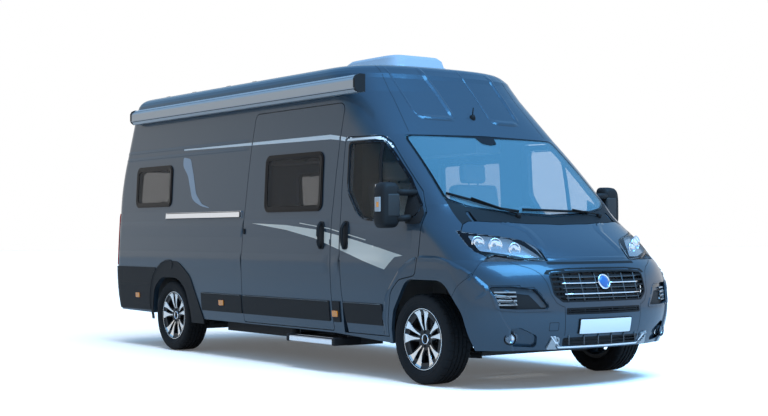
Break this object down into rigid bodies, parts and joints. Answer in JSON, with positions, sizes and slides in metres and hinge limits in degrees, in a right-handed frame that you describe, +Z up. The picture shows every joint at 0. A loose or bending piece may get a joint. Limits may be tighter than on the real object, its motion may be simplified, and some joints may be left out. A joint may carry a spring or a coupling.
{
  "type": "camper van",
  "caption": "High-roofed panel van fitted out as a motor home, with sliding side door, cassette awning, entry step, opening cab doors, rear doors and bonnet, and steered front wheels.",
  "frame": {"origin": "on the ground under the middle of the van", "axes": "+X forward to the nose, +Y to the van's left, +Z up"},
  "size_m": [6.3643, 2.5, 2.6219],
  "materials": {
    "body_paint": "metallic gloss",
    "dark_plastic": "satin",
    "rooflight_plastic": "gloss",
    "tinted_glass": "gloss",
    "lamp_clear": "gloss",
    "lamp_red": "gloss",
    "floor_grey": "matt",
    "chassis_black": "satin",
    "cast_parts": "rough",
    "radiator_metal": "satin",
    "dash_plastic": "matt",
    "seat_fabric": "matt",
    "furniture_board": "satin",
    "step_metal": "satin",
    "awning_silver": "satin",
    "bright_trim": "satin",
    "rim_alloy": "machined",
    "tyre_rubber": "matt"
  },
  "bodies": {
    "body": {"awning": "awning_silver", "bed": "seat_fabric", "bumper_inserts": "dark_plastic", "cab_frame": "body_paint", "cab_seats": "seat_fabric", "chassis_frame": "chassis_black", "cowl": "dark_plastic", "dashboard": "dash_plastic", "door_rail": "body_paint", "engine": "cast_parts", "fixed_glass": "tinted_glass", "floor_pan": "floor_grey", "front_bumper": "body_paint", "front_lip": "bright_trim", "front_wings": "body_paint", "furniture": "furniture_board", "grille": "dark_plastic", "headlamps": "lamp_clear", "lower_cladding": "dark_plastic", "radiator": "radiator_metal", "rear_frame": "body_paint", "roof_shell": "body_paint", "rooflight": "rooflight_plastic", "running_gear": "chassis_black", "side_panel_left": "body_paint", "side_panel_right": "body_paint", "sliding_door": "body_paint", "step_frame": "chassis_black", "tail_lamps": "lamp_red", "tanks": "dark_plastic"},
    "knuckle_right": {"knuckle_right": "cast_parts"},
    "knuckle_left": {"knuckle_left": "cast_parts"},
    "wheel_front_right": {"rim_front_right": "rim_alloy", "tyre_front_right": "tyre_rubber"},
    "wheel_front_left": {"rim_front_left": "rim_alloy", "tyre_front_left": "tyre_rubber"},
    "wheel_rear_right": {"rim_rear_right": "rim_alloy", "tyre_rear_right": "tyre_rubber"},
    "wheel_rear_left": {"rim_rear_left": "rim_alloy", "tyre_rear_left": "tyre_rubber"},
    "cab_door_right_assembly": {"cab_door_right": "body_paint", "cab_door_glass_right": "tinted_glass", "door_trim_right": "dark_plastic", "mirror_right": "dark_plastic"},
    "cab_door_left_assembly": {"cab_door_left": "body_paint", "cab_door_glass_left": "tinted_glass", "door_trim_left": "dark_plastic", "mirror_left": "dark_plastic"},
    "rear_door_right_assembly": {"rear_door_right": "body_paint", "rear_door_glass_right": "tinted_glass"},
    "rear_door_left_assembly": {"rear_door_left": "body_paint", "rear_door_glass_left": "tinted_glass"},
    "bonnet_lid": {"bonnet": "body_paint"},
    "steering_wheel_assembly": {"steering_wheel": "dash_plastic"},
    "entry_step": {"step_tread": "step_metal"}
  },
  "joints": [
    {"name": "steer_right", "type": "hinge", "parent": "body", "child": "knuckle_right", "pos_m": [2.2335, -0.79, 0.35], "axis": [0, 0, 1], "range_deg": [-35, 35]},
    {"name": "steer_left", "type": "hinge", "parent": "body", "child": "knuckle_left", "pos_m": [2.2335, 0.79, 0.35], "axis": [0, 0, 1], "range_deg": [-35, 35]},
    {"name": "steering_wheel_turn", "type": "hinge", "parent": "body", "child": "steering_wheel_assembly", "pos_m": [1.69, 0.43, 1.215], "axis": [-0.7828, 0, 0.6222], "range_deg": [-525, 525]},
    {"name": "spin_front_right", "type": "hinge", "parent": "knuckle_right", "child": "wheel_front_right", "pos_m": [2.2335, -0.89, 0.342], "axis": [0, 1, 0], "continuous": true},
    {"name": "spin_front_left", "type": "hinge", "parent": "knuckle_left", "child": "wheel_front_left", "pos_m": [2.2335, 0.89, 0.342], "axis": [0, 1, 0], "continuous": true},
    {"name": "spin_rear_right", "type": "hinge", "parent": "body", "child": "wheel_rear_right", "pos_m": [-1.8015, -0.885, 0.342], "axis": [0, 1, 0], "continuous": true},
    {"name": "spin_rear_left", "type": "hinge", "parent": "body", "child": "wheel_rear_left", "pos_m": [-1.8015, 0.885, 0.342], "axis": [0, 1, 0], "continuous": true},
    {"name": "cab_door_right_hinge", "type": "hinge", "parent": "body", "child": "cab_door_right_assembly", "pos_m": [2.3335, -0.955, 1.08], "axis": [0, 0, 1], "range_deg": [0, 70]},
    {"name": "cab_door_left_hinge", "type": "hinge", "parent": "body", "child": "cab_door_left_assembly", "pos_m": [2.3335, 0.955, 1.08], "axis": [0, 0, -1], "range_deg": [0, 70]},
    {"name": "rear_door_right_hinge", "type": "hinge", "parent": "body", "child": "rear_door_right_assembly", "pos_m": [-3.1305, -0.846, 1.1], "axis": [0, 0, 1], "range_deg": [0, 180]},
    {"name": "rear_door_left_hinge", "type": "hinge", "parent": "body", "child": "rear_door_left_assembly", "pos_m": [-3.1305, 0.846, 1.1], "axis": [0, 0, -1], "range_deg": [0, 180]},
    {"name": "bonnet_hinge", "type": "hinge", "parent": "body", "child": "bonnet_lid", "pos_m": [2.4385, 0, 1.2842], "axis": [0, -1, 0], "range_deg": [0, 50]},
    {"name": "step_slide", "type": "slide", "parent": "body", "child": "entry_step", "axis": [0, -1, 0], "range_m": [0, 0.2]}
  ],
  "couplings": [
    {"joint": "steer_left", "follows": "steer_right", "ratio": 1},
    {"joint": "steering_wheel_turn", "follows": "steer_right", "ratio": 15}
  ]
}
